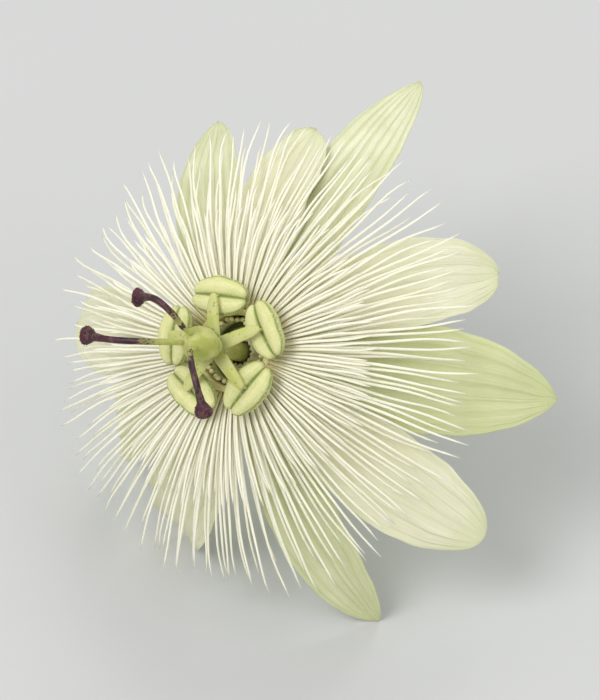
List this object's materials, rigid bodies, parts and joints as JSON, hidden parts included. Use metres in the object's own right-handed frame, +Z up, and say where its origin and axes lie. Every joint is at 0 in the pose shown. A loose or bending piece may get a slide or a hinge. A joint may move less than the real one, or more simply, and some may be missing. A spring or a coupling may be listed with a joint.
{
  "type": "passion flower",
  "caption": "Open white passion flower picked with its stalk: reflexed sepals and petals, a fan of fine filaments, raised anthers, ovary and dark styles, lying on its lower tips and stalk.",
  "frame": {"origin": "middle of the underside of the box round the whole part, on the surface that it lies on", "axes": "+Z up from the surface; the face of the flower looks towards -Y and up, and its stalk runs back towards +Y"},
  "size_m": [0.0812, 0.0734, 0.0604],
  "materials": {
    "petal": "ivory petal tissue, satin",
    "sepal": "ivory with a green keel, satin",
    "corona": "white filaments, satin",
    "corona_short": "cream filaments, satin",
    "cup": "fresh green, satin",
    "operculum": "cream membrane, satin",
    "column": "pale green, satin",
    "anther": "yellow green, powdery",
    "ovary": "green with a waxy bloom",
    "style": "dark purple, satin",
    "bract": "light green leaf, satin",
    "stalk": "green stem, satin"
  },
  "bodies": {
    "root": {"stalk": "stalk", "calyx_cup": "cup", "bract_1": "bract", "bract_2": "bract", "bract_3": "bract", "sepal_1": "sepal", "sepal_2": "sepal", "sepal_3": "sepal", "sepal_4": "sepal", "sepal_5": "sepal", "petal_1": "petal", "petal_2": "petal", "petal_3": "petal", "petal_4": "petal", "petal_5": "petal", "corona_outer_rank": "corona", "corona_inner_rank": "corona", "corona_short_rank": "corona_short", "operculum": "operculum", "androgynophore": "column", "anther_1": "anther", "anther_2": "anther", "anther_3": "anther", "anther_4": "anther", "anther_5": "anther", "ovary": "ovary", "style_1": "style", "style_2": "style", "style_3": "style"}
  },
  "joints": []
}
